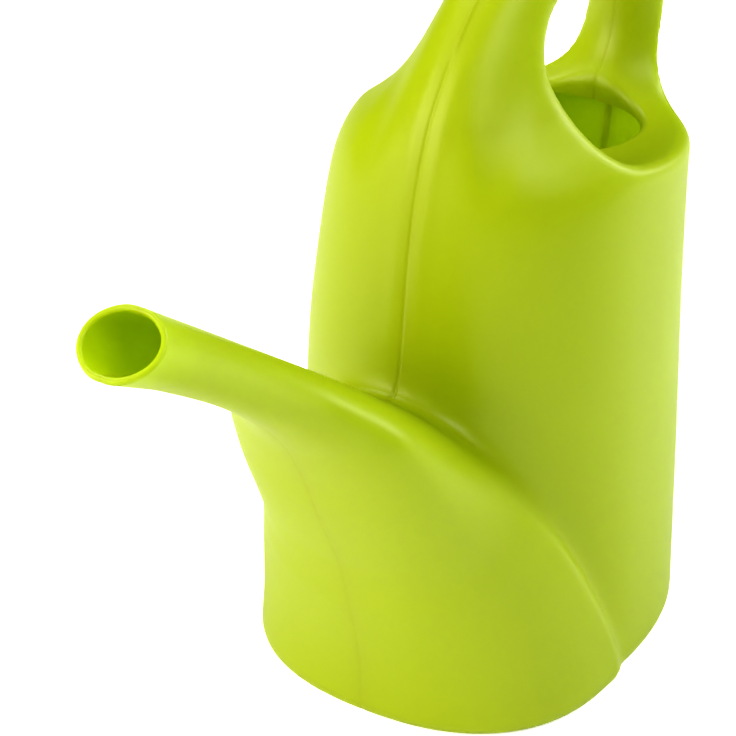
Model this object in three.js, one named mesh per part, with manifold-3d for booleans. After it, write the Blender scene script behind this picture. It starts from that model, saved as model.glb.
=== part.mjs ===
// Watering can with a skirted spout and a loop handle, blow-moulded in one colour.
// Millimetres, +Z up. The can stands on Z = 0, its spout points to -X, and its parting plane is Y = 0.
// The skin is cut into shells along the parting plane, the spout's ridge, the handle's root and the
// edge of the filling hole, with a separate floor panel.

import * as THREE from 'three';
import { LoftGeometry } from 'three/addons/geometries/LoftGeometry.js';
import { mergeVertices } from 'three/addons/utils/BufferGeometryUtils.js';
import Module from 'manifold-3d';

const wasm = await Module();
wasm.setup();

// ---------------------------------------------------------------- driving dimensions

const WALL = 2.0;               // skin thickness
const GAP = 0.3;                // clearance between neighbouring pieces
const MIDDLE = -24.85;          // "ahead" value that lies on X = 0
const RING_SIDES = 40;          // points round each section
const REACH = 400;              // size of a cutting block, larger than the can

// Lengths along the can are given as "ahead": 0 at the foot of the skirt, positive towards the mouth.

const TOP = 262;                // crest of the handle
const CREST = { ahead: -122, curve: 140, round: 23, halfWidth: 20 };
const TANK_ROUNDNESS = 2.25;    // 2 is an ellipse, higher is squarer
const TANK_WIDEST = 0.42;       // widest point, as a share of the length from the front

const TANK_FRONT = [            // height, front of the tank and handle
  [0, -26], [60, -25], [115, -24], [144, -26.5], [175, -31], [192, -35.5],
  [206, -41], [220, -50.5], [235, -65], [250, -84], [270, -104],
];
const TANK_REAR = [
  [0, -152], [60, -156], [115, -160], [160, -166], [185, -174], [205, -182], [220, -185.5],
  [232, -184], [246, -174], [258, -157], [270, -140],
];
const TANK_HALF_WIDTH = [
  [0, 64], [60, 61.5], [115, 58.5], [160, 55], [178, 53], [186, 50.5], [192, 46.5],
  [199, 39.5], [206, 33], [214, 28], [223, 24.5], [236, 21.5], [270, 20],
];

// The spout's sections fan out from a hinge line in front of the foot, then run square to a straight axis.

const HINGE_AHEAD = 66;
const SPOUT_RISE = THREE.MathUtils.degToRad(37);
const FAN_ANGLE = Math.PI / 2 - SPOUT_RISE;
const FAN_SCALE = 100;          // run counted for one radian of fan
const FAN_END = FAN_ANGLE * FAN_SCALE;

const SPOUT_UNDER = [           // run along the spout, distance of the underside from the hinge
  [-20, 66], [0, 66], [25, 68], [47, 71.2], [66, 76.2], [80, 81.8], [FAN_END, 88],
  [FAN_END + 25, 101.5], [FAN_END + 45, 113], [FAN_END + 61, 119.6], [FAN_END + 80, 123.6],
  [FAN_END + 100, 125.3], [FAN_END + 118, 125.8], [FAN_END + 150, 125], [FAN_END + 168, 123.5],
  [FAN_END + 200, 120],
];
const SPOUT_OVER = [
  [-20, 142], [FAN_END, 142.8], [FAN_END + 61, 144.6], [FAN_END + 118, 145.5], [FAN_END + 200, 146.5],
];
const SPOUT_HALF_WIDTH = [
  [-20, 65.5], [0, 65.5], [25, 63.5], [47, 59], [66, 52.3], [80, 47.6], [FAN_END, 44.3],
  [FAN_END + 25, 38.5], [FAN_END + 45, 30], [FAN_END + 61, 22.5], [FAN_END + 80, 16.5],
  [FAN_END + 100, 13.2], [FAN_END + 118, 12.5], [FAN_END + 150, 12.6], [FAN_END + 168, 13.8],
  [FAN_END + 200, 15],
];
const SPOUT_WIDEST = [          // widest point of a section, as a share from underside to top
  [-20, 0.79], [0, 0.79], [47, 0.72], [80, 0.58], [FAN_END, 0.52], [FAN_END + 200, 0.5],
];
const SPOUT_ROUNDNESS = [[-20, 2.4], [25, 2.3], [FAN_END, 2.2], [FAN_END + 61, 2], [FAN_END + 200, 2]];

const RIDGE_FOOT = { ahead: -67.5, up: 3 };
const RIDGE_HEAD = { ahead: -20, up: 114 };
const MOUTH = { ahead: 126, up: 212, tilt: THREE.MathUtils.degToRad(56) };

const OPENING = {               // hand opening below the handle
  front: -79, rear: -167, top: 237, bottom: 170, roundness: 2.9, lean: 0.15,
  dish: 0.002, dishLimit: 62, fall: 0.07, fallFrom: -120, flare: 0.032,
};
const HOLE = { ahead: -131, halfLength: 22, halfWidth: 26, roundness: 2.4 };
const COLLAR_WIDTH = 6;         // width of the collar round the filling hole
const DECK_FLOOR = 158;         // the deck lies above this height and the tank below
const HANDLE_ROOT = 206;        // the handle starts at this height
const HEEL = { height: 2.2, lengthShare: 0.93, widthShare: 0.92 };
const PAN = { thickness: 2, share: 0.985 };

const LIME = '#b4d60e';

// ---------------------------------------------------------------- curves and sections

// Smooth curve through [position, value] pairs that never overshoots them.
function curveThrough(pairs) {
  const count = pairs.length;
  const slope = [];
  for (let i = 0; i < count - 1; i++) {
    slope.push((pairs[i + 1][1] - pairs[i][1]) / (pairs[i + 1][0] - pairs[i][0]));
  }
  const tangent = [slope[0]];
  for (let i = 1; i < count - 1; i++) {
    const before = pairs[i][0] - pairs[i - 1][0];
    const after = pairs[i + 1][0] - pairs[i][0];
    const sameWay = slope[i - 1] * slope[i] > 0;
    const weighted = (2 * after + before) / slope[i - 1] + (after + 2 * before) / slope[i];
    tangent.push(sameWay ? (3 * (before + after)) / weighted : 0);
  }
  tangent.push(slope[count - 2]);
  return (position) => {
    const at = THREE.MathUtils.clamp(position, pairs[0][0], pairs[count - 1][0]);
    let i = 0;
    while (i < count - 2 && at > pairs[i + 1][0]) i++;
    const span = pairs[i + 1][0] - pairs[i][0];
    const t = (at - pairs[i][0]) / span;
    const blend = 3 * t * t - 2 * t * t * t;
    const level = (1 - blend) * pairs[i][1] + blend * pairs[i + 1][1];
    return level + span * t * (1 - t) * ((1 - t) * tangent[i] - t * tangent[i + 1]);
  };
}

const tankFront = curveThrough(TANK_FRONT);
const tankRear = curveThrough(TANK_REAR);
const tankHalfWidth = curveThrough(TANK_HALF_WIDTH);
const spoutUnder = curveThrough(SPOUT_UNDER);
const spoutOver = curveThrough(SPOUT_OVER);
const spoutHalfWidth = curveThrough(SPOUT_HALF_WIDTH);
const spoutWidest = curveThrough(SPOUT_WIDEST);
const spoutRoundness = curveThrough(SPOUT_ROUNDNESS);

const place = (ahead, side, up) => new THREE.Vector3(MIDDLE - ahead, side, up);

const steps = (from, to, count) =>
  Array.from({ length: count + 1 }, (_, i) => from + ((to - from) * i) / count);

// Points of an egg-shaped ring: low, widest and high along one axis, half across the other.
function eggRing(low, widest, high, half, roundness) {
  const power = 2 / roundness;
  const points = [];
  for (let i = 0; i < RING_SIDES; i++) {
    const angle = (2 * Math.PI * (i + 0.5)) / RING_SIDES;
    const along = Math.sign(Math.cos(angle)) * Math.abs(Math.cos(angle)) ** power;
    const across = Math.sign(Math.sin(angle)) * Math.abs(Math.sin(angle)) ** power;
    points.push([widest + along * (along > 0 ? high - widest : widest - low), across * half]);
  }
  return points;
}

// ---------------------------------------------------------------- solids

function toSolid(shape) {
  const geometry = new THREE.BufferGeometry();
  geometry.setAttribute('position', shape.attributes.position);
  geometry.setIndex(shape.index);
  const merged = mergeVertices(geometry, 1e-4);
  const mesh = new wasm.Mesh({
    numProp: 3,
    vertProperties: new Float32Array(merged.attributes.position.array),
    triVerts: new Uint32Array(merged.index.array),
  });
  return new wasm.Manifold(mesh);
}

function toMesh(name, solid) {
  const { vertProperties, triVerts } = solid.getMesh();
  const geometry = new THREE.BufferGeometry();
  geometry.setAttribute('position', new THREE.BufferAttribute(new Float32Array(vertProperties), 3));
  geometry.setIndex(new THREE.BufferAttribute(new Uint32Array(triVerts), 1));
  geometry.computeVertexNormals();
  const material = new THREE.MeshStandardMaterial({ color: LIME, roughness: 0.45, metalness: 0 });
  const mesh = new THREE.Mesh(geometry, material);
  mesh.name = name;
  return mesh;
}

const loft = (sections) => toSolid(new LoftGeometry(sections, { capStart: true, capEnd: true }));

function block(width, depth, height, centre, tiltAboutY = 0) {
  const geometry = new THREE.BoxGeometry(width, depth, height);
  geometry.rotateY(tiltAboutY);
  geometry.translate(centre.x, centre.y, centre.z);
  return toSolid(geometry);
}

// Everything ahead of a plane square to Y = 0 that passes through two points of the side view.
function aheadOf(low, high, shift = 0) {
  const along = new THREE.Vector2(high.ahead - low.ahead, high.up - low.up).normalize();
  const out = new THREE.Vector2(along.y, -along.x);
  const middle = place(
    low.ahead + out.x * (REACH / 2 + shift), 0, low.up + out.y * (REACH / 2 + shift));
  return block(REACH, REACH, 2 * REACH, middle, -Math.atan2(along.x, along.y));
}

// ---------------------------------------------------------------- the can's forms

// The handle's crest: an arch in the side view that also rounds off to both sides.
function underCrest(inset) {
  const edges = [5, 10, 14, 17, 20, 23, 27, REACH / 2];
  const sides = [...edges.map((side) => -side).reverse(), 0, ...edges];
  const sections = sides.map((side) => {
    const share = Math.abs(side) / CREST.halfWidth;
    const drop = CREST.round * (1 - Math.exp(-1.35 * share ** 3.5)) + inset;
    const arch = steps(CREST.ahead - 90, CREST.ahead + 150, 24).map(
      (ahead) => place(ahead, side, TOP - (ahead - CREST.ahead) ** 2 / CREST.curve - drop));
    const footing = [place(CREST.ahead - 90, side, -30), place(CREST.ahead + 150, side, -30)];
    return [...footing, ...arch.reverse()];
  });
  return loft(sections);
}

// Tank and handle as one solid tower, thinner by `inset` all round.
function tower(inset) {
  const heights = [-10, ...steps(0, 175, 7), ...steps(183, 270, 13)];
  const sections = heights.map((up) => {
    const front = tankFront(up) - inset;
    const rear = tankRear(up) + inset;
    const widest = front - (front - rear) * TANK_WIDEST;
    const ring = eggRing(rear, widest, front, tankHalfWidth(up) - inset, TANK_ROUNDNESS);
    return ring.map(([ahead, side]) => place(ahead, side, up)).reverse();
  });
  return loft(sections).intersect(underCrest(inset));
}

// Spout and skirt as one solid horn, thinner by `inset` all round.
function horn(inset) {
  const runs = [...steps(-20, FAN_END, 11), ...steps(FAN_END + 10, FAN_END + 200, 17)];
  const sections = runs.map((run) => {
    const under = spoutUnder(run) + inset;
    const over = spoutOver(run) - inset;
    const widest = under + (over - under) * spoutWidest(run);
    const ring = eggRing(under, widest, over, spoutHalfWidth(run) - inset, spoutRoundness(run));
    const fan = Math.min(run / FAN_SCALE, FAN_ANGLE);
    const onward = Math.max(run - FAN_END, 0);
    return ring.map(([distance, side]) => place(
      HINGE_AHEAD - distance * Math.cos(fan) + onward * Math.cos(SPOUT_RISE),
      side,
      distance * Math.sin(fan) + onward * Math.sin(SPOUT_RISE)));
  });
  return loft(sections);
}

// The hand opening runs across the can. Its floor dips towards the filling hole and falls to the
// rear, and its rear wall flares out to both sides of the rear post.
function handOpening(outset) {
  const edges = [5, 10, 15, 20, 26, 33, 42, 52, OPENING.dishLimit, 80];
  const sides = [...edges.map((side) => -side).reverse(), 0, ...edges];
  const sections = sides.map((side) => {
    const reach = Math.min(Math.abs(side), OPENING.dishLimit);
    const front = OPENING.front + outset;
    const rear = OPENING.rear - OPENING.flare * reach * reach - outset;
    const top = OPENING.top + outset;
    const ring = eggRing(rear, (front + rear) / 2, front, 1, OPENING.roundness);
    return ring.map(([along, share]) => {
      const level = (OPENING.top + OPENING.bottom) / 2 + (share * (OPENING.top - OPENING.bottom)) / 2;
      const ahead = along - OPENING.lean * (level - HANDLE_ROOT);
      const fall = OPENING.fall * (ahead - OPENING.fallFrom);
      const bottom = OPENING.bottom + OPENING.dish * reach * reach + fall - outset;
      return place(ahead, side, (top + bottom) / 2 + (share * (top - bottom)) / 2);
    });
  });
  return loft(sections);
}

function uprightOval(grow, from, to) {
  const { ahead, halfLength, halfWidth, roundness } = HOLE;
  const half = halfLength + grow;
  const ring = eggRing(ahead - half, ahead, ahead + half, halfWidth + grow, roundness);
  return loft([from, to].map((up) => ring.map(([at, side]) => place(at, side, up)).reverse()));
}

const above = (height) => block(2 * REACH, REACH, REACH, new THREE.Vector3(0, 0, height + REACH / 2));
const below = (height) => block(2 * REACH, REACH, REACH, new THREE.Vector3(0, 0, height - REACH / 2));

const mouthCut = aheadOf(
  { ahead: MOUTH.ahead + Math.sin(MOUTH.tilt), up: MOUTH.up - Math.cos(MOUTH.tilt) },
  { ahead: MOUTH.ahead - Math.sin(MOUTH.tilt), up: MOUTH.up + Math.cos(MOUTH.tilt) });
const aheadOfRidge = aheadOf(RIDGE_FOOT, RIDGE_HEAD);

// ---------------------------------------------------------------- skin

const outside = tower(0)
  .add(horn(0).intersect(aheadOfRidge))
  .subtract(handOpening(0))
  .subtract(mouthCut)
  .intersect(above(0));

const inside = tower(WALL)
  .add(horn(WALL).intersect(aheadOf(RIDGE_FOOT, RIDGE_HEAD, WALL)))
  .subtract(handOpening(WALL));

const footprint = inside.intersect(below(8)).intersect(above(-8));
const heelBand = above(0).intersect(below(HEEL.height));
const heelHole = footprint.scale([HEEL.lengthShare, HEEL.widthShare, 1]);

const hollow = inside.subtract(heelBand.subtract(heelHole));
const skin = outside.subtract(hollow).subtract(uprightOval(0, DECK_FLOOR, HANDLE_ROOT));

// ---------------------------------------------------------------- pieces

const sideBlock = (sign) => block(
  2 * REACH, REACH, 2 * REACH, new THREE.Vector3(0, sign * (REACH / 2 + GAP / 2), 0));
const collarBand = uprightOval(COLLAR_WIDTH, DECK_FLOOR, HANDLE_ROOT);
const collarClear = uprightOval(COLLAR_WIDTH + GAP, DECK_FLOOR - 1, HANDLE_ROOT + 1);

const spoutSkin = skin.intersect(aheadOf(RIDGE_FOOT, RIDGE_HEAD, GAP / 2));
const bodySkin = skin.subtract(aheadOf(RIDGE_FOOT, RIDGE_HEAD, -GAP / 2)).subtract(collarClear);
const tankSkin = bodySkin.intersect(below(HANDLE_ROOT - GAP / 2));
const handleSkin = bodySkin.intersect(above(HANDLE_ROOT + GAP / 2));

const panFloor = HEEL.height + GAP;
const floorPan = footprint
  .scale([PAN.share, PAN.share, 1])
  .intersect(above(panFloor))
  .intersect(below(panFloor + PAN.thickness));

const can = new THREE.Group();
for (const [side, sign] of [['left', -1], ['right', 1]]) {
  can.add(toMesh(`tank_${side}_shell`, tankSkin.intersect(sideBlock(sign))));
  can.add(toMesh(`spout_${side}_shell`, spoutSkin.intersect(sideBlock(sign))));
  can.add(toMesh(`handle_${side}_shell`, handleSkin.intersect(sideBlock(sign))));
}
can.add(toMesh('fill_collar', skin.intersect(collarBand)));
can.add(toMesh('base_pan', floorPan));

export default can;
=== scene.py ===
import math
import bpy
import numpy as np
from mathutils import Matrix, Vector


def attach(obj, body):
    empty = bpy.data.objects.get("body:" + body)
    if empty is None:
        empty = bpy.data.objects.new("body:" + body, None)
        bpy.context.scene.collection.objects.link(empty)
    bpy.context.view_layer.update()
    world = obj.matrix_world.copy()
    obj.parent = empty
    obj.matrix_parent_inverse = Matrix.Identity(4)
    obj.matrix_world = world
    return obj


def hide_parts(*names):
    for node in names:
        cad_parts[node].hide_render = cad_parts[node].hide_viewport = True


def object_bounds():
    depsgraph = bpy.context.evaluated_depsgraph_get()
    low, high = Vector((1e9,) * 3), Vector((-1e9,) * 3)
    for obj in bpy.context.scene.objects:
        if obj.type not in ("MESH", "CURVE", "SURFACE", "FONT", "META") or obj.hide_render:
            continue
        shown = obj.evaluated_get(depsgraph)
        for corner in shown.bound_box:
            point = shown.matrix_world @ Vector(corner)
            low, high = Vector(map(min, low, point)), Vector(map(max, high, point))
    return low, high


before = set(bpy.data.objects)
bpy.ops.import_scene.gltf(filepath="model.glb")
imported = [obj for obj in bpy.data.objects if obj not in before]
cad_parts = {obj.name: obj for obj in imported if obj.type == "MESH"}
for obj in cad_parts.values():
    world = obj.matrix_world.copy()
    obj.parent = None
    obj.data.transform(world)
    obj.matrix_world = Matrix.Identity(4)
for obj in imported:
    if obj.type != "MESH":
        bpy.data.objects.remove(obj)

cad_box = [list(corner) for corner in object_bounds()]


# ---- Camera ----------------------------------------------------------------------------------
# A long lens about a metre away, looking down on the spout's side of the can. It frames the spout,
# the skirt and the tank, and the top of the handle runs out of the view.

AIM_BACK = 0.0482           # the aim point, as a share of the can's length behind its middle
AIM_SIDE = 0.168            # the same across the can, as a share of its width
AIM_UP = 0.42               # and as a share of its height
CAMERA_TURN = math.radians(-58)
CAMERA_RISE = math.radians(32)
CAMERA_DISTANCE = 1.1
FRAME_WIDTH = 0.24533       # width of the view at the aim point, in metres
SENSOR_WIDTH = 36

low, high = Vector(cad_box[0]), Vector(cad_box[1])
size = high - low
middle = (low + high) / 2
aim = Vector((middle.x + AIM_BACK * size.x, AIM_SIDE * size.y, AIM_UP * size.z))
view_back = Vector((
    math.sin(CAMERA_TURN) * math.cos(CAMERA_RISE),
    -math.cos(CAMERA_TURN) * math.cos(CAMERA_RISE),
    math.sin(CAMERA_RISE)))
camera_data = bpy.data.cameras.new("camera")
camera_data.sensor_width = SENSOR_WIDTH
camera_data.lens = SENSOR_WIDTH * CAMERA_DISTANCE / FRAME_WIDTH
camera_data.clip_end = 50
camera = bpy.data.objects.new("camera", camera_data)
camera.location = aim + view_back * CAMERA_DISTANCE
camera.rotation_euler = view_back.to_track_quat("Z", "Y").to_euler()
bpy.context.scene.collection.objects.link(camera)
bpy.context.scene.camera = camera


# ---- Tank and handle form --------------------------------------------------------------------
# The tank is an egg-shaped tower that narrows like a bell into the loop handle. Each form below is
# a distance in millimetres, negative inside. "Ahead" runs from the skirt's foot towards the mouth.

REAR_REACH = 185.16          # the rearmost point of the tank, behind the skirt's foot
foot_x = high.x * 1000 - REAR_REACH
TOP = high.z * 1000


def curve_through(pairs):
    """A smooth curve through (position, value) pairs that never overshoots them."""
    at, value = np.array(pairs, float).T
    step = np.diff(at)
    slope = np.diff(value) / step
    tangent = np.concatenate([[slope[0]], np.zeros(len(at) - 2), [slope[-1]]])
    for i in range(1, len(at) - 1):
        if slope[i - 1] * slope[i] > 0:
            before = (2 * step[i] + step[i - 1]) / slope[i - 1]
            after = (step[i] + 2 * step[i - 1]) / slope[i]
            tangent[i] = 3 * (step[i] + step[i - 1]) / (before + after)

    def curve(position):
        p = np.clip(position, at[0], at[-1])
        i = np.clip(np.searchsorted(at, p, side="right") - 1, 0, len(at) - 2)
        t = (p - at[i]) / step[i]
        level = (2 * t**3 - 3 * t**2 + 1) * value[i] + (3 * t**2 - 2 * t**3) * value[i + 1]
        lean = t * (1 - t) * ((1 - t) * tangent[i] - t * tangent[i + 1])
        return level + step[i] * lean

    return curve


def join(a, b, blend):
    """The union of two forms, with a fillet that grows with blend."""
    share = np.clip(0.5 + 0.5 * (b - a) / blend, 0, 1)
    return b + (a - b) * share - blend * share * (1 - share)


def common(a, b, blend):
    """What two forms share, with its edge rounded."""
    return -join(-a, -b, blend)


def oval(along, across, reach, half, roundness):
    """Distance to an oval: roundness 2 is an ellipse, and higher is squarer."""
    u = np.maximum(np.abs(along) / reach, 1e-6)
    v = np.maximum(np.abs(across) / half, 1e-6)
    ring = (u**roundness + v**roundness) ** (1 / roundness)
    steepness = ring ** (1 - roundness) * np.hypot(
        u ** (roundness - 1) / reach, v ** (roundness - 1) / half)
    return (ring - 1) / steepness


TANK_ROUNDNESS = 2.25
TANK_WIDEST = 0.42          # where the tank is widest, as a share of its length from the front
CREST_AHEAD, CREST_CURVE, CREST_ROUND, CREST_HALF_WIDTH = -122, 140, 23, 20
CREST_FALL, CREST_FLATNESS = 1.35, 3.5       # how fast the handle's top falls away to its sides
CREST_SLOPE = 0.8                            # turns height under the crest into distance
CREST_EDGE = 7
tank_front = curve_through([
    (0, -26), (60, -25), (115, -24), (144, -26.5), (175, -31), (192, -35.5),
    (206, -41), (220, -50.5), (235, -65), (250, -84), (270, -104)])
tank_rear = curve_through([
    (0, -152), (60, -156), (115, -160), (160, -166), (185, -174), (205, -182), (220, -185.5),
    (232, -184), (246, -174), (258, -157), (270, -140)])
tank_half_width = curve_through([
    (0, 64), (60, 61.5), (115, 58.5), (160, 55), (178, 53), (186, 50.5), (192, 46.5),
    (199, 39.5), (206, 33), (214, 28), (223, 24.5), (236, 21.5), (270, 20)])


def tower(ahead, side, up):
    front, rear = tank_front(up), tank_rear(up)
    widest = front - (front - rear) * TANK_WIDEST
    reach = np.where(ahead > widest, front - widest, widest - rear)
    wall = oval(ahead - widest, side, reach, tank_half_width(up), TANK_ROUNDNESS)
    share = np.abs(side) / CREST_HALF_WIDTH
    drop = CREST_ROUND * (1 - np.exp(-CREST_FALL * share ** CREST_FLATNESS))
    arch = TOP - (ahead - CREST_AHEAD) ** 2 / CREST_CURVE - drop
    return common(wall, (up - arch) * CREST_SLOPE, CREST_EDGE)


# ---- Spout and skirt form --------------------------------------------------------------------
# The spout grows out of a skirt that wraps the tank's front down to the ground. Its sections fan
# out from a hinge line in front of the foot, then run square to the straight part of the spout.

HINGE_AHEAD = 66
SPOUT_RISE = math.radians(37)
RUN_PER_RADIAN = 100         # the run along the spout that one radian of its fan counts for
FAN_END = (math.pi / 2 - SPOUT_RISE) * RUN_PER_RADIAN
RIDGE_FOOT, RIDGE_HEAD = (-67.5, 3), (-20, 114)
RIDGE_ROUND_LOW, RIDGE_ROUND_HIGH = 4, 9
RIDGE_FLARE, RIDGE_FLARE_REACH = 0.3, 8         # the skirt swells slightly along its ridge
MOUTH_AHEAD, MOUTH_UP, MOUTH_TILT = 126, 212, math.radians(56)
spout_under = curve_through([
    (-20, 66), (0, 66.4), (25, 69), (47, 72.2), (66, 76.8), (80, 82.6), (FAN_END, 89),
    (FAN_END + 25, 102), (FAN_END + 45, 113), (FAN_END + 61, 119.6), (FAN_END + 80, 123.6),
    (FAN_END + 100, 125.3), (FAN_END + 118, 125.8), (FAN_END + 150, 125), (FAN_END + 168, 123.5),
    (FAN_END + 200, 120)])
spout_over = curve_through([
    (-20, 142), (FAN_END, 142.8), (FAN_END + 61, 144.6), (FAN_END + 118, 145.5),
    (FAN_END + 200, 146.5)])
spout_half_width = curve_through([
    (-20, 65.5), (0, 65.3), (25, 62.6), (47, 57.8), (66, 50.6), (80, 44.8), (FAN_END, 41.5),
    (FAN_END + 25, 37.5), (FAN_END + 45, 32.5), (FAN_END + 61, 24.5), (FAN_END + 80, 16.5),
    (FAN_END + 100, 13.2), (FAN_END + 118, 12.5), (FAN_END + 150, 12.6), (FAN_END + 168, 13.8),
    (FAN_END + 200, 15)])
spout_widest = curve_through([
    (-20, 0.79), (0, 0.79), (47, 0.72), (80, 0.58), (FAN_END, 0.52), (FAN_END + 200, 0.5)])
spout_roundness = curve_through([
    (-20, 2.4), (25, 2.3), (FAN_END, 2.2), (FAN_END + 61, 2), (FAN_END + 200, 2)])


def past_mouth(ahead, up):
    return (ahead - MOUTH_AHEAD) * math.cos(MOUTH_TILT) + (up - MOUTH_UP) * math.sin(MOUTH_TILT)


def behind_ridge(ahead, up):
    run, rise = RIDGE_HEAD[0] - RIDGE_FOOT[0], RIDGE_HEAD[1] - RIDGE_FOOT[1]
    return ((up - RIDGE_FOOT[1]) * run - (ahead - RIDGE_FOOT[0]) * rise) / math.hypot(run, rise)


def horn(ahead, side, up):
    forward = ahead - HINGE_AHEAD
    onward = forward * math.cos(SPOUT_RISE) + up * math.sin(SPOUT_RISE)
    fan = np.arctan2(up, -forward)
    fan = np.where(fan < -math.pi / 2, 3.0, fan) * RUN_PER_RADIAN
    run = np.where(onward > 0, FAN_END + onward, fan)
    straight = up * math.cos(SPOUT_RISE) - forward * math.sin(SPOUT_RISE)
    distance = np.where(onward > 0, straight, np.hypot(forward, up))
    under, over = spout_under(run), spout_over(run)
    widest = under + (over - under) * spout_widest(run)
    reach = np.where(distance < widest, widest - under, over - widest)
    wall = oval(distance - widest, side, reach, spout_half_width(run), spout_roundness(run))
    wall = wall - RIDGE_FLARE * np.exp(-((behind_ridge(ahead, up) / RIDGE_FLARE_REACH) ** 2))
    high_share = np.clip(up / RIDGE_HEAD[1], 0, 1) ** 2
    edge = RIDGE_ROUND_LOW + (RIDGE_ROUND_HIGH - RIDGE_ROUND_LOW) * high_share
    return common(wall, behind_ridge(ahead, up), edge)


# ---- Hand opening, filling hole and foot ------------------------------------------------------
# The hand opening runs through the tower, and its floor is dished towards the filling hole. The
# hole's edge is rolled. The foot is a standing ring round a floor that is moulded in a little.

OPENING_FRONT, OPENING_REAR, OPENING_TOP, OPENING_BOTTOM = -79, -167, 237, 170
OPENING_ROUNDNESS, OPENING_LEAN, HANDLE_ROOT = 2.9, 0.15, 206
DISH, DISH_LIMIT, DISH_FALL, DISH_AHEAD, FLARE = 0.002, 62, 0.07, -120, 0.032
HOLE_AHEAD, HOLE_HALF_LENGTH, HOLE_HALF_WIDTH, HOLE_ROUNDNESS = -131, 22, 26, 2.4
HOLE_DEPTH, HOLE_EDGE = 3, 3     # the rolled edge is trimmed HOLE_DEPTH below OPENING_BOTTOM
HOLE_SPARE = 4                   # the hole is sunk this much deeper, so that the trim is clean
EDGE_LOW, EDGE_GROWTH, EDGE_FROM, EDGE_SPAN = 6, 7, 190, 25      # the hand opening's rounding
FILLET_LOW, FILLET_GROWTH, FILLET_SPAN = 6.5, 9.5, 110           # the valley round the spout's root
HEEL_ROUND, RECESS, RING_WIDTH, RECESS_ROUND = 5, 2.5, 8, 2
FOOT_SPAN, FOOTPRINT_UP = 12, 6.0


def hand_opening(ahead, side, up):
    reach = np.minimum(np.abs(side), DISH_LIMIT)
    bottom = OPENING_BOTTOM + DISH * reach**2 + DISH_FALL * (ahead - DISH_AHEAD)
    lean = OPENING_LEAN * (up - HANDLE_ROOT)
    front, rear = OPENING_FRONT - lean, OPENING_REAR - lean - FLARE * reach**2
    return oval(
        ahead - (front + rear) / 2, up - (OPENING_TOP + bottom) / 2, (front - rear) / 2,
        (OPENING_TOP - bottom) / 2, OPENING_ROUNDNESS)


def filling_hole(ahead, side):
    return oval(ahead - HOLE_AHEAD, side, HOLE_HALF_LENGTH, HOLE_HALF_WIDTH, HOLE_ROUNDNESS)


def below_hole_edge(up):
    return OPENING_BOTTOM - HOLE_DEPTH - up


def body(ahead, side, up):
    """The whole can before its openings and foot are moulded."""
    fillet = FILLET_LOW + FILLET_GROWTH * np.clip(up / FILLET_SPAN, 0, 1) ** 1.5
    return join(tower(ahead, side, up), horn(ahead, side, up), fillet)


def footprint(ahead, side):
    return body(ahead, side, np.full_like(ahead, FOOTPRINT_UP))


def foot_recess(form, ahead, side, up):
    """Takes the shallow recess inside the standing ring out of a form near the floor."""
    near_floor = np.broadcast_to(up < FOOT_SPAN, form.shape)
    if not np.any(near_floor):
        return form
    ahead, side, up = [np.broadcast_to(part, form.shape)[near_floor] for part in (ahead, side, up)]
    recess = common(footprint(ahead, side) + RING_WIDTH, up - RECESS, RECESS_ROUND)
    form = np.array(form)
    form[near_floor] = common(form[near_floor], -recess, RECESS_ROUND)
    return form


def outside(ahead, side, up):
    """The can's outer surface, without its parting line."""
    form = body(ahead, side, up)
    edge = EDGE_LOW + EDGE_GROWTH * np.clip((up - EDGE_FROM) / EDGE_SPAN, 0, 1)
    form = common(form, -hand_opening(ahead, side, up), edge)
    hole = np.maximum(filling_hole(ahead, side), below_hole_edge(up) - HOLE_SPARE)
    hole = np.maximum(hole, up - HANDLE_ROOT)
    form = common(form, -hole, HOLE_EDGE)
    form = common(form, -up, HEEL_ROUND)
    return foot_recess(form, ahead, side, up)


# ---- Parting line ----------------------------------------------------------------------------
# The two halves of the mould meet on the can's middle plane. The line stands up as a bead on the
# handle, lies in a fine groove on the tank, and is fainter on the skirt and in the hand opening.

BEAD_HEIGHT, BEAD_WIDTH, BEAD_FROM = 0.32, 0.8, 222
GROOVE_DEPTH, GROOVE_WIDTH = 0.24, 0.65
SWELL_HEIGHT, SWELL_WIDTH, SWELL_SIDE = 0.4, 3, 4.5      # soft swells on both sides of the groove
SWELL_FROM, SWELL_SPAN = 110, 60
SKIRT_FROM, SKIRT_SHARE = -21, 0.4                       # how much of the line is on the skirt
INSIDE_SHARE = 0.35                                      # and in the hand opening


def parting_line(ahead, side, up):
    bead = BEAD_HEIGHT * np.exp(-((side / BEAD_WIDTH) ** 2))
    groove = GROOVE_DEPTH * np.exp(-((side / GROOVE_WIDTH) ** 2))
    swell = SWELL_HEIGHT * np.exp(-(((np.abs(side) - SWELL_SIDE) / SWELL_WIDTH) ** 2))
    high_up = np.clip((up - BEAD_FROM) / 8, 0, 1)
    swell_share = np.clip((up - SWELL_FROM) / SWELL_SPAN, 0, 1) * (1 - high_up)
    line = bead * high_up - groove * (1 - high_up) + swell * swell_share
    on_skirt = np.clip((ahead - SKIRT_FROM) / 6, 0, 1)
    inside = np.clip(1 - hand_opening(ahead, side, up) / 4, 0, 1)
    return line * (1 - (1 - SKIRT_SHARE) * on_skirt) * (1 - (1 - INSIDE_SHARE) * inside)


def skin(points):
    ahead, side, up = points.T
    return outside(ahead, side, up) - parting_line(ahead, side, up)


def slope(form, points, reach=0.05):
    """The gradient of a form, by central differences."""
    columns = []
    for axis in range(3):
        shift = np.zeros(3)
        shift[axis] = reach
        columns.append((form(points + shift) - form(points - shift)) / (2 * reach))
    return np.stack(columns, -1)


FLATTEST, LONGEST_MOVE = 0.05, 1.5      # what keeps a point from running off where a form is flat


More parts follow.
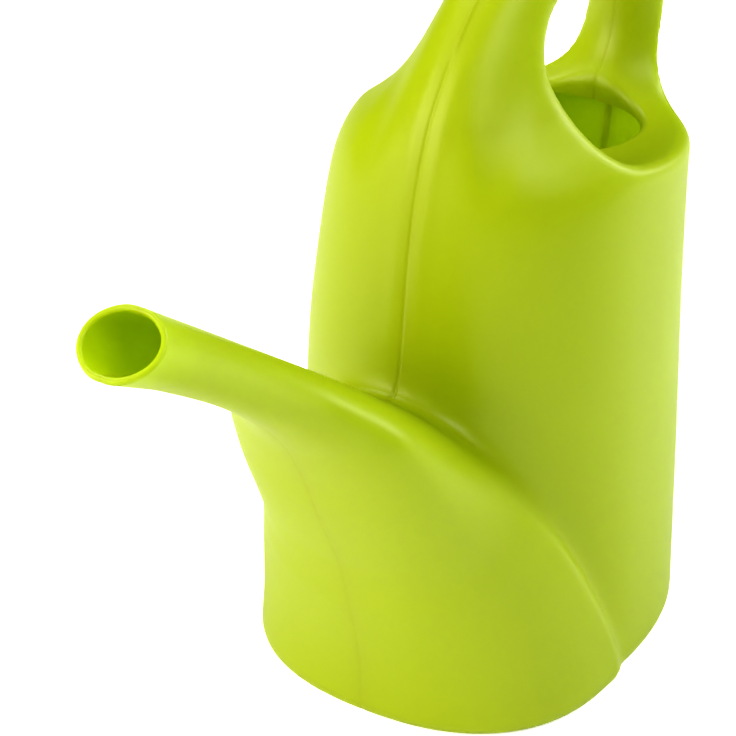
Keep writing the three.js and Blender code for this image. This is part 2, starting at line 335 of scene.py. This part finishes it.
def settle(points, form, rounds=4):
    """Moves points onto a form's surface. Points on the middle plane stay on it."""
    on_middle = points[:, 1] == 0
    for _ in range(rounds):
        way = slope(form, points)
        move = form(points)[:, None] * way / np.maximum((way**2).sum(1), FLATTEST)[:, None]
        length = np.linalg.norm(move, axis=1, keepdims=True)
        points = points - move * np.minimum(1, LONGEST_MOVE / np.maximum(length, 1e-9))
        points[on_middle, 1] = 0
    return points


# ---- Moulded surface ---------------------------------------------------------------------------
# One half of the can as it leaves its half of the mould: a net of points is laid over the form,
# finer towards the parting line, and settled onto it.

STEP = 1.7
NEAR_MIDDLE = [-0.15, 0.15, 0.45, 0.8, 1.2, 1.7, 2.4, 3.3, 4.5, 6]
PAST_REAR, PAST_MOUTH, PAST_SIDE, PAST_FLOOR, PAST_TOP = 7, 152, 72, 4, 8     # the net's bounds
MIDDLE_SNAP = 0.1
SNAP = 0.06                   # a corner this near a border counts as on it


def surface_net(values, axes):
    """A mesh of quads where values change sign on a grid, with one point to a cell."""
    cells = np.array(values.shape) - 1
    total = np.zeros((cells.prod(), 3))
    count = np.zeros(cells.prod())
    quads = []
    for axis in range(3):
        b, c = (axis + 1) % 3, (axis + 2) % 3
        before = np.take(values, np.arange(cells[axis]), axis)
        after = np.take(values, np.arange(cells[axis]) + 1, axis)
        edge = np.argwhere((before < 0) != (after < 0))
        start, end = before[tuple(edge.T)], after[tuple(edge.T)]
        point = np.stack([axes[k][edge[:, k]] for k in range(3)], -1)
        span = axes[axis][edge[:, axis] + 1] - axes[axis][edge[:, axis]]
        point[:, axis] += span * start / (start - end)
        around = []
        for back in ((0, 0), (1, 0), (1, 1), (0, 1)):
            cell = edge.copy()
            cell[:, b] -= back[0]
            cell[:, c] -= back[1]
            fits = (cell >= 0).all(1) & (cell < cells).all(1)
            index = np.full(len(cell), -1)
            index[fits] = np.ravel_multi_index(tuple(cell[fits].T), cells)
            np.add.at(total, index[fits], point[fits])
            np.add.at(count, index[fits], 1)
            around.append(index)
        quad = np.stack(around, 1)
        quad = np.where(start[:, None] < 0, quad, quad[:, ::-1])
        quads.append(quad[(quad >= 0).all(1)])
    quads = np.concatenate(quads)
    used, quads = np.unique(quads, return_inverse=True)
    return total[used] / count[used, None], quads.reshape(-1, 4)


def cut(points, faces, values):
    """Splits triangles where a value given at their corners changes sign."""
    values = np.where(np.abs(values) < SNAP, 0, values)
    sign = np.sign(values[faces])
    crossed = (sign.min(1) < 0) & (sign.max(1) > 0)
    kept, split = faces[~crossed], faces[crossed]
    edges = np.sort(np.concatenate([split[:, [0, 1]], split[:, [1, 2]], split[:, [2, 0]]]), axis=1)
    edges = edges[values[edges[:, 0]] * values[edges[:, 1]] < 0]
    edges = np.unique(edges, axis=0)
    a, b = edges.T
    share = (values[a] / (values[a] - values[b]))[:, None]
    fresh = points[a] * (1 - share) + points[b] * share
    fresh = settle(fresh, skin, 2)
    number = {(int(p), int(q)): len(points) + i for i, (p, q) in enumerate(edges)}
    result = []
    for face in split.tolist():
        ring = []
        for p, q in zip(face, face[1:] + face[:1]):
            ring.append(p)
            middle_point = number.get((min(p, q), max(p, q)))
            if middle_point is not None:
                ring.append(middle_point)
        zero = [i for i, p in enumerate(ring) if p >= len(points) or values[p] == 0]
        first, second = zero[0], zero[-1] if len(zero) == 2 else zero[1]
        parts = [ring[first:second + 1], ring[second:] + ring[:first + 1]]
        for part in parts:
            for i in range(1, len(part) - 1):
                result.append([part[0], part[i], part[i + 1]])
    faces = np.concatenate([kept, np.array(result, dtype=int).reshape(-1, 3)])
    return np.concatenate([points, fresh]), faces


def side_of(points, faces, form):
    """True for each face that lies where the form is positive."""
    values = form(points)[faces]
    pick = np.abs(values).argmax(1)
    return values[np.arange(len(faces)), pick] > 0


axes = [
    np.arange(-REAR_REACH - PAST_REAR, PAST_MOUTH, STEP),
    np.concatenate([NEAR_MIDDLE, np.arange(NEAR_MIDDLE[-1] + STEP, PAST_SIDE, STEP)]),
    np.arange(-PAST_FLOOR, TOP + PAST_TOP, STEP)]
grid = np.meshgrid(*axes, indexing="ij")
grid_values = outside(*[part.ravel() for part in grid]).reshape(grid[0].shape)
points, quads = surface_net(grid_values, axes)
points[points[:, 1] < MIDDLE_SNAP, 1] = 0
points = settle(points, skin)
faces = np.concatenate([quads[:, [0, 1, 2]], quads[:, [0, 2, 3]]])


# ---- Borders of the pieces ---------------------------------------------------------------------
# The pieces meet at the valley round the spout's root, at the handle's root, at the edge of the
# filling hole's collar, and on the standing ring.

WALL = 2.2
COLLAR_WIDTH = 6
PAN_INSET, PAN_TOP = 4.5, 4     # the pan starts on the standing ring, this far inside the outline
DECK_LOW, DECK_HIGH = 120, 200  # between these heights only the deck comes near the hole
POCKET_MARGIN = 3
OFF = -9.0                      # the value of a border where it doesn't apply
LIP_SEGMENTS = 6


def mouth_border(p):
    return past_mouth(p[:, 0], p[:, 2]) + WALL / 2


def near_deck(p):
    return (p[:, 2] > DECK_LOW) & (p[:, 2] < DECK_HIGH)


def pocket_border(p):
    inside_pocket = (filling_hole(p[:, 0], p[:, 1]) < POCKET_MARGIN) & near_deck(p)
    return np.where(inside_pocket, below_hole_edge(p[:, 2]), OFF)


def spout_border(p):
    ahead, side, up = p.T
    return tower(ahead, side, up) - horn(ahead, side, up)


def handle_border(p):
    return p[:, 2] - HANDLE_ROOT


def collar_border(p):
    return np.where(near_deck(p), COLLAR_WIDTH - filling_hole(p[:, 0], p[:, 1]), OFF)


def pan_border(p):
    under = p[:, 2] < PAN_TOP
    result = np.full(len(p), OFF)
    result[under] = -PAN_INSET - footprint(p[under, 0], p[under, 1])
    return result


for border in (mouth_border, pocket_border):
    points, faces = cut(points, faces, border(points))
    faces = faces[~side_of(points, faces, border)]
for border in (spout_border, handle_border, collar_border, pan_border):
    points, faces = cut(points, faces, border(points))
on_spout, on_handle, on_collar, on_pan = [
    side_of(points, faces, border)
    for border in (spout_border, handle_border, collar_border, pan_border)]
on_handle &= ~on_spout
regions = {
    "spout": on_spout & ~on_pan,
    "handle": on_handle,
    "collar": on_collar & ~on_spout,
    "pan": on_pan,
    "tank": ~(on_spout | on_handle | on_collar | on_pan)}
out = slope(skin, points)
out /= np.linalg.norm(out, axis=1, keepdims=True)
out[points[:, 1] == 0, 1] = 0


def both_halves(points, out, faces):
    """A patch and its mirror image, joined on the middle plane."""
    count = len(points)
    on_middle = points[:, 1] == 0
    twin = np.where(on_middle, np.arange(count), np.arange(count) + count)
    flip = np.array([1, -1, 1])
    return (
        np.concatenate([points, points * flip]), np.concatenate([out, out * flip]),
        np.concatenate([faces, twin[faces][:, ::-1]]))


def make_piece(name, patch_faces, hand, material):
    """A wall of the can: an outer skin, an inner skin and the rims between them."""
    near, normals, patch = points, out, patch_faces
    if hand == "both":
        near, normals, patch = both_halves(near, normals, patch)
    if hand == "left":
        flip = np.array([1, -1, 1])
        near, normals, patch = near * flip, normals * flip, patch[:, ::-1]
    used, patch = np.unique(patch, return_inverse=True)
    patch = patch.reshape(-1, 3)
    near, normals = near[used], normals[used]
    count = len(near)
    inner = near - normals * WALL
    sides = np.concatenate([patch[:, [0, 1]], patch[:, [1, 2]], patch[:, [2, 0]]])
    keys = sides[:, 0] * count + sides[:, 1]
    rim = sides[~np.isin(keys, sides[:, 1] * count + sides[:, 0])]
    at_mouth = np.abs(mouth_border(near)) < 0.2
    lip_number = np.cumsum(at_mouth) - 1
    lips = np.flatnonzero(at_mouth)
    lean = np.array([math.cos(MOUTH_TILT), 0, math.sin(MOUTH_TILT)])
    rows, row_out = [near, inner], [normals, -normals]
    for i in range(1, LIP_SEGMENTS):
        turn = math.pi * i / LIP_SEGMENTS
        way = normals[lips] * math.cos(turn) + lean * math.sin(turn)
        rows.append(near[lips] - normals[lips] * WALL / 2 + way * WALL / 2)
        row_out.append(way)
    place = np.concatenate(rows)
    direction = np.concatenate(row_out)

    def column(i):
        steps = range(LIP_SEGMENTS - 1)
        return [i] + [2 * count + s * len(lips) + lip_number[i] for s in steps] + [i + count]

    polygons = patch.tolist() + (patch[:, ::-1] + count).tolist()
    flat = []
    lip_start, lip_end = {}, {}
    for a, b in rim.tolist():
        if at_mouth[a] and at_mouth[b]:
            left, right = column(a), column(b)
            for i in range(LIP_SEGMENTS):
                polygons.append([right[i], left[i], left[i + 1], right[i + 1]])
            lip_start[a] = left
            lip_end[b] = right
        else:
            flat.append([b, a, a + count, b + count])
    smooth = len(polygons)
    for a in set(lip_start) - set(lip_end):
        flat.append(lip_start[a][::-1])
    for b in set(lip_end) - set(lip_start):
        flat.append(lip_end[b])
    place = np.stack([foot_x - place[:, 0], place[:, 1], place[:, 2]], -1) / 1000
    direction = direction * [-1, 1, 1]
    polygons = [face[::-1] for face in polygons]
    flat = [face[::-1] for face in flat]
    mesh = bpy.data.meshes.new(name)
    mesh.from_pydata(place.tolist(), [], polygons + flat)
    mesh.polygons.foreach_set("use_smooth", [True] * smooth + [False] * len(flat))
    loops = np.zeros((len(mesh.loops), 3))
    corners = np.array([corner for face in polygons for corner in face])
    loops[:len(corners)] = direction[corners]
    mesh.normals_split_custom_set(loops.tolist())
    mesh.materials.append(material)
    piece = bpy.data.objects.new(name, mesh)
    bpy.context.scene.collection.objects.link(piece)
    return piece


# ---- Plastic -----------------------------------------------------------------------------------
# Lime polyethylene, coloured through and satin, with the mould's fine texture. The wall is thin
# enough to let some light through, and its colour and gloss drift a little from place to place.

plastic = bpy.data.materials.new("lime_polyethylene")
plastic.use_nodes = True
nodes, links = plastic.node_tree.nodes, plastic.node_tree.links
shader = nodes["Principled BSDF"]
shader.inputs["Specular IOR Level"].default_value = 0.5
through = nodes.new("ShaderNodeBsdfTranslucent")
through.inputs["Color"].default_value = (0.5, 0.63, 0.001, 1)
wall_mix = nodes.new("ShaderNodeMixShader")
wall_mix.inputs["Fac"].default_value = 0.5
links.new(shader.outputs["BSDF"], wall_mix.inputs[1])
links.new(through.outputs["BSDF"], wall_mix.inputs[2])
links.new(wall_mix.outputs["Shader"], nodes["Material Output"].inputs["Surface"])
texture_place = nodes.new("ShaderNodeTexCoord")
grain = nodes.new("ShaderNodeTexNoise")
grain.inputs["Scale"].default_value = 900
grain.inputs["Detail"].default_value = 3
links.new(texture_place.outputs["Object"], grain.inputs["Vector"])
bump = nodes.new("ShaderNodeBump")
bump.inputs["Strength"].default_value = 0.12
bump.inputs["Distance"].default_value = 0.0002
links.new(grain.outputs["Fac"], bump.inputs["Height"])
links.new(bump.outputs["Normal"], shader.inputs["Normal"])
patches = nodes.new("ShaderNodeTexNoise")
patches.inputs["Scale"].default_value = 22
patches.inputs["Detail"].default_value = 2
links.new(texture_place.outputs["Object"], patches.inputs["Vector"])
tint = nodes.new("ShaderNodeMixRGB")
tint.inputs["Color1"].default_value = (0.388, 0.468, 0.001, 1)
tint.inputs["Color2"].default_value = (0.405, 0.483, 0.001, 1)
links.new(patches.outputs["Fac"], tint.inputs["Fac"])
links.new(tint.outputs["Color"], shader.inputs["Base Color"])
satin = nodes.new("ShaderNodeMapRange")
satin.inputs["To Min"].default_value = 0.36
satin.inputs["To Max"].default_value = 0.44
links.new(patches.outputs["Fac"], satin.inputs["Value"])
links.new(satin.outputs["Result"], shader.inputs["Roughness"])


# ---- Pieces ------------------------------------------------------------------------------------
# The can is one moulding, with no fixings. Each wall stands for one of its named parts: both
# halves of the tank, spout and handle, the edge round the filling hole, and the floor panel.

for region, stem in (("tank", "tank"), ("spout", "spout"), ("handle", "handle")):
    for hand in ("left", "right"):
        piece = make_piece(f"{stem}_{hand}", faces[regions[region]], hand, plastic)
        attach(piece, "root")
        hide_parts(f"{stem}_{hand}_shell")
for region, node in (("collar", "fill_collar"), ("pan", "base_pan")):
    piece = make_piece(f"moulded_{node}", faces[regions[region]], "both", plastic)
    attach(piece, "root")
    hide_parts(node)


# ---- Floor and light ---------------------------------------------------------------------------
# A white sweep under soft studio light: a warm key from the spout's far side, a box over the near
# side, an upright strip at the tank's end, and a box over the far side.

floor_mesh = bpy.data.meshes.new("floor")
floor_mesh.from_pydata([(-4, -4, 0), (4, -4, 0), (4, 4, 0), (-4, 4, 0)], [], [(0, 1, 2, 3)])
floor = bpy.data.objects.new("floor", floor_mesh)
bpy.context.scene.collection.objects.link(floor)
white = bpy.data.materials.new("white_sweep")
white.use_nodes = True
white_shader = white.node_tree.nodes["Principled BSDF"]
white_shader.inputs["Base Color"].default_value = (0.9, 0.9, 0.9, 1)
white_shader.inputs["Roughness"].default_value = 0.9
white_shader.inputs["Specular IOR Level"].default_value = 0
white_shader.inputs["Emission Color"].default_value = (1, 1, 1, 1)
white_shader.inputs["Emission Strength"].default_value = 0.35
floor_mesh.materials.append(white)


LAMP_AIM = Vector((0, 0, 0.1))


def add_light(name, place, width, height, power, colour):
    """An area lamp that faces the can."""
    data = bpy.data.lights.new(name, "AREA")
    data.shape = "RECTANGLE"
    data.size, data.size_y = width, height
    data.energy = power
    data.color = colour
    lamp = bpy.data.objects.new(name, data)
    lamp.location = place
    lamp.rotation_euler = (Vector(place) - LAMP_AIM).to_track_quat("Z", "Y").to_euler()
    bpy.context.scene.collection.objects.link(lamp)


add_light("key_left", (-1.25, 0.8, 0.85), 1.3, 1.2, 37, (1, 0.91, 0.7))
add_light("near_box", (-0.1, -0.85, 1.15), 1, 0.7, 12, (1, 1, 0.95))
add_light("right_strip", (1.05, -0.5, 0.8), 0.5, 1.1, 15, (1, 0.98, 0.95))
add_light("back_box", (0.3, 0.7, 1.3), 0.8, 0.8, 12, (1, 1, 1))
world = bpy.data.worlds.new("studio")
world.use_nodes = True
world.node_tree.nodes["Background"].inputs["Color"].default_value = (0.9, 1, 0.85, 1)
world.node_tree.nodes["Background"].inputs["Strength"].default_value = 0.12
bpy.context.scene.world = world
bpy.context.scene.view_settings.view_transform = "Standard"
bpy.context.scene.view_settings.look = "High Contrast"
